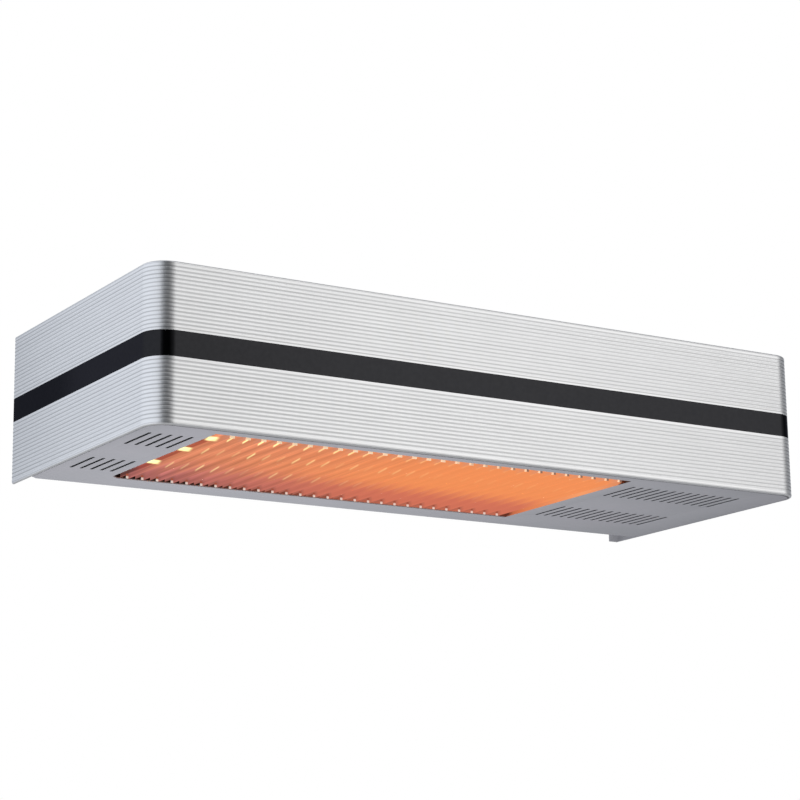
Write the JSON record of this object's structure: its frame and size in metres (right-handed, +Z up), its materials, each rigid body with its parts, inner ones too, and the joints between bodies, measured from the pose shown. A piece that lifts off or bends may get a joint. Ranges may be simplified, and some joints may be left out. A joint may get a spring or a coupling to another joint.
{
  "type": "electric bar heater",
  "caption": "Wall-hung infrared bar heater: ribbed aluminium casing with a dark inlay strip, and lamps behind a louvred guard in its underside.",
  "frame": {"origin": "centre of the wall bracket's back face, in the wall plane, at the middle of the heater's length and of its casing's height", "axes": "+X along the heater, to the right seen from the room; +Y into the wall; +Z up"},
  "size_m": [0.7144, 0.301, 0.1438],
  "materials": {
    "anodised_band": "satin anodised, finely ribbed along its length",
    "black_inlay": "smooth, satin to gloss black",
    "silver_paint": "silver-grey powder coat, fine and matt",
    "zinc_sheet": "plain zinc-coated sheet",
    "guard_steel": "stainless strip lit orange by the lamps",
    "polished_reflector": "polished aluminium reflector",
    "quartz": "clear quartz tube",
    "tungsten": "glowing filament",
    "ceramic": "unglazed white ceramic",
    "black_nylon": "moulded black nylon",
    "bracket_paint": "dark grey powder coat"
  },
  "bodies": {
    "bracket": {"wall_bracket": "bracket_paint"},
    "heater": {"casing_band": "anodised_band", "centre_strip": "black_inlay", "bottom_plate": "silver_paint", "top_cover": "silver_paint", "rear_panel": "zinc_sheet", "guard_blade_01": "guard_steel", "guard_blade_02": "guard_steel", "guard_blade_03": "guard_steel", "guard_blade_04": "guard_steel", "guard_blade_05": "guard_steel", "guard_blade_06": "guard_steel", "guard_blade_07": "guard_steel", "guard_blade_08": "guard_steel", "guard_blade_09": "guard_steel", "guard_blade_10": "guard_steel", "guard_blade_11": "guard_steel", "guard_blade_12": "guard_steel", "guard_blade_13": "guard_steel", "guard_blade_14": "guard_steel", "guard_blade_15": "guard_steel", "guard_blade_16": "guard_steel", "guard_blade_17": "guard_steel", "guard_blade_18": "guard_steel", "guard_blade_19": "guard_steel", "guard_blade_20": "guard_steel", "guard_blade_21": "guard_steel", "guard_blade_22": "guard_steel", "guard_blade_23": "guard_steel", "guard_blade_24": "guard_steel", "guard_blade_25": "guard_steel", "guard_blade_26": "guard_steel", "guard_blade_27": "guard_steel", "guard_blade_28": "guard_steel", "guard_rail_front": "guard_steel", "guard_rail_rear": "guard_steel", "lamp_tube_1": "quartz", "lamp_tube_2": "quartz", "lamp_tube_3": "quartz", "lamp_filament_1": "tungsten", "lamp_filament_2": "tungsten", "lamp_filament_3": "tungsten", "lamp_cap_left_1": "ceramic", "lamp_cap_left_2": "ceramic", "lamp_cap_left_3": "ceramic", "lamp_cap_right_1": "ceramic", "lamp_cap_right_2": "ceramic", "lamp_cap_right_3": "ceramic", "lamp_holder_left": "zinc_sheet", "lamp_holder_right": "zinc_sheet", "bulkhead_left": "zinc_sheet", "bulkhead_right": "zinc_sheet", "reflector": "polished_reflector", "heat_shield": "zinc_sheet", "terminal_block": "ceramic", "cable_gland": "black_nylon", "gland_nut": "black_nylon"}
  },
  "joints": [
    {"name": "heater_lift", "type": "slide", "parent": "bracket", "child": "heater", "axis": [0, 0, 1], "range_m": [0, 0.01]}
  ]
}
